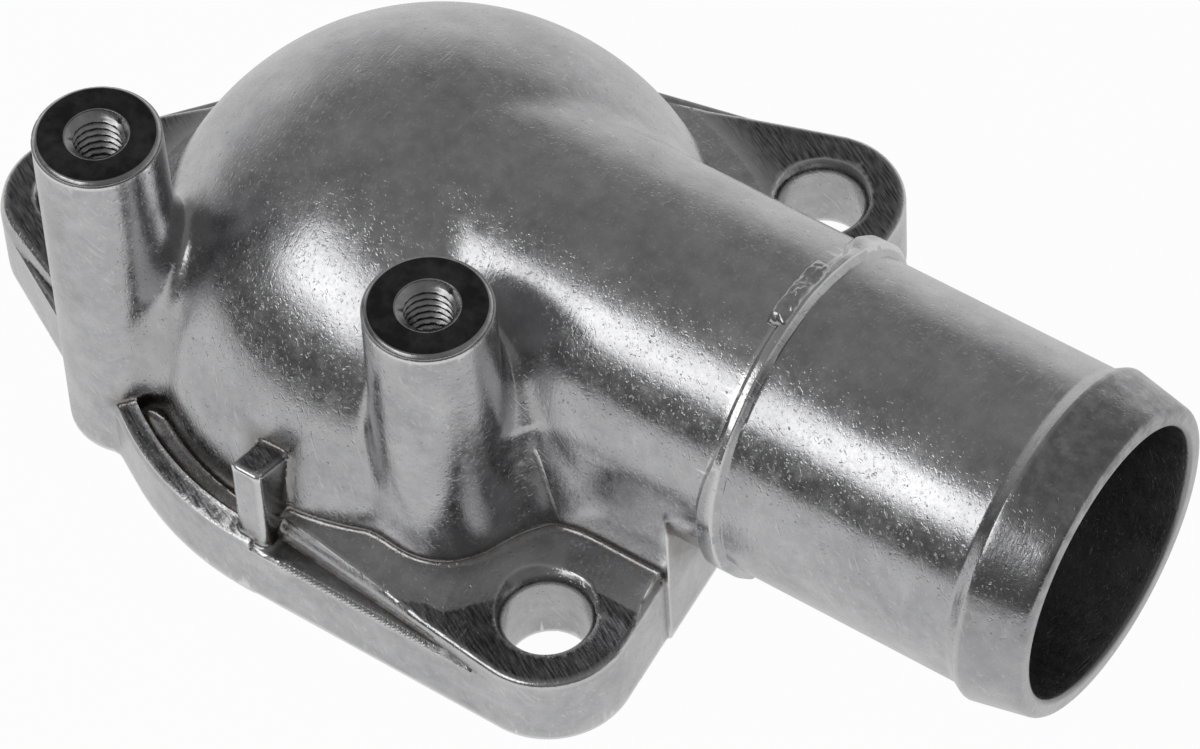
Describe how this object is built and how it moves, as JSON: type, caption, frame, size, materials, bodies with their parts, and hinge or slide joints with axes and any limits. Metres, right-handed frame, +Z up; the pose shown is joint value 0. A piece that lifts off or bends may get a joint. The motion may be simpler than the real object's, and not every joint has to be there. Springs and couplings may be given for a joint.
{
  "type": "thermostat housing",
  "caption": "Cast aluminium coolant outlet housing: a domed chamber on a lobed flange, with a beaded hose spigot at one side and tall tapped bosses in front.",
  "frame": {"origin": "chamber axis on the flange's sealing face", "axes": "+Z up along the chamber axis, away from the sealing face; +X along the hose outlet"},
  "size_m": [0.1322, 0.0783, 0.044],
  "materials": {
    "cast_aluminium": "tumbled die casting with milled flats"
  },
  "bodies": {
    "root": {"housing": "cast_aluminium"}
  },
  "joints": []
}
